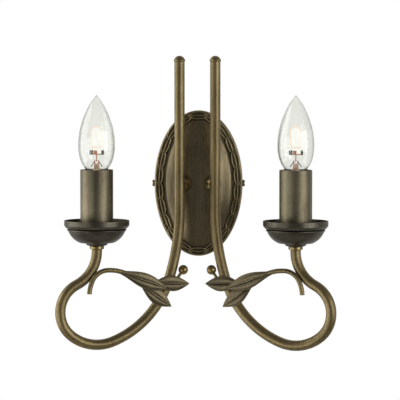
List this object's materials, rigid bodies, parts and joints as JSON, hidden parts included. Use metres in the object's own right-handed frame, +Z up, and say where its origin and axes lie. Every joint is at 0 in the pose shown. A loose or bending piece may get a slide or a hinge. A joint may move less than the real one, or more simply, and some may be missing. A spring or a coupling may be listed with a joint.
{
  "type": "candle wall light",
  "caption": "Wall light with an oval chain-bordered backplate and looped tube arms that carry candle sleeves in drip pans, with leaf sprays, berries and clear candle bulbs.",
  "frame": {"origin": "on the wall plane at the middle of the oval backplate, midway between the wall screws", "axes": "+Z up, +Y into the wall, so the light stands out along -Y, and +X to the viewer's right"},
  "size_m": [0.2674, 0.0986, 0.2815],
  "materials": {
    "bronze": "antique bronze, dark in the hollows and rubbed gold on the edges, finely speckled",
    "brass": "aged brass, satin",
    "steel": "zinc plated, satin",
    "lampholder": "moulded, matt",
    "terminal_plastic": "moulded, matt",
    "flex": "smooth sheath",
    "clear_glass": "clear, polished",
    "black_glass": "glazed",
    "bulb_metal": "bright",
    "bulb_mount": "drawn wire",
    "filament": "glowing coil"
  },
  "bodies": {
    "fixture": {"backplate": "bronze", "wall_bracket": "steel", "side_screws": "brass", "terminal_block": "terminal_plastic", "terminal_screws": "steel", "earth_screw": "brass", "arm_nuts": "steel", "pan_nuts": "brass", "left_arm_tube": "bronze", "left_arm_cap": "bronze", "left_arm_boss": "bronze", "left_arm_stud": "steel", "left_arm_flex": "flex", "left_front_leaf": "bronze", "left_inner_leaf": "bronze", "left_lower_leaf": "bronze", "left_berry": "bronze", "left_drip_pan": "bronze", "left_pan_collar": "brass", "left_nipple": "steel", "left_lampholder_body": "lampholder", "left_lampholder_shell": "brass", "left_lampholder_contact": "brass", "right_arm_tube": "bronze", "right_arm_cap": "bronze", "right_arm_boss": "bronze", "right_arm_stud": "steel", "right_arm_flex": "flex", "right_front_leaf": "bronze", "right_inner_leaf": "bronze", "right_lower_leaf": "bronze", "right_berry": "bronze", "right_drip_pan": "bronze", "right_pan_collar": "brass", "right_nipple": "steel", "right_lampholder_body": "lampholder", "right_lampholder_shell": "brass", "right_lampholder_contact": "brass"},
    "left_sleeve": {"left_candle_sleeve": "bronze"},
    "left_bulb_foot": {"left_bulb_tip": "bulb_metal"},
    "left_bulb": {"left_bulb_insulator": "black_glass", "left_bulb_cap": "bulb_metal", "left_bulb_glass": "clear_glass", "left_bulb_capsule": "clear_glass", "left_bulb_filament": "filament", "left_bulb_mount": "bulb_mount"},
    "right_sleeve": {"right_candle_sleeve": "bronze"},
    "right_bulb_foot": {"right_bulb_tip": "bulb_metal"},
    "right_bulb": {"right_bulb_insulator": "black_glass", "right_bulb_cap": "bulb_metal", "right_bulb_glass": "clear_glass", "right_bulb_capsule": "clear_glass", "right_bulb_filament": "filament", "right_bulb_mount": "bulb_mount"}
  },
  "joints": [
    {"name": "left_sleeve_lift", "type": "slide", "parent": "fixture", "child": "left_sleeve", "axis": [0, 0, 1], "range_m": [0, 0.0062]},
    {"name": "left_bulb_lift", "type": "slide", "parent": "fixture", "child": "left_bulb_foot", "axis": [0, 0, 1], "range_m": [0, 0.0085]},
    {"name": "left_bulb_turn", "type": "hinge", "parent": "left_bulb_foot", "child": "left_bulb", "pos_m": [-0.09487, -0.06736, -0.05692], "axis": [0, 0, 1], "range_deg": [0, 1080]},
    {"name": "right_sleeve_lift", "type": "slide", "parent": "fixture", "child": "right_sleeve", "axis": [0, 0, 1], "range_m": [0, 0.0062]},
    {"name": "right_bulb_lift", "type": "slide", "parent": "fixture", "child": "right_bulb_foot", "axis": [0, 0, 1], "range_m": [0, 0.0085]},
    {"name": "right_bulb_turn", "type": "hinge", "parent": "right_bulb_foot", "child": "right_bulb", "pos_m": [0.09487, -0.06736, -0.05692], "axis": [0, 0, 1], "range_deg": [0, 1080]}
  ],
  "couplings": [
    {"joint": "left_bulb_lift", "follows": "left_bulb_turn", "m_per_rad": 0.00044914},
    {"joint": "right_bulb_lift", "follows": "right_bulb_turn", "m_per_rad": 0.00044914}
  ]
}
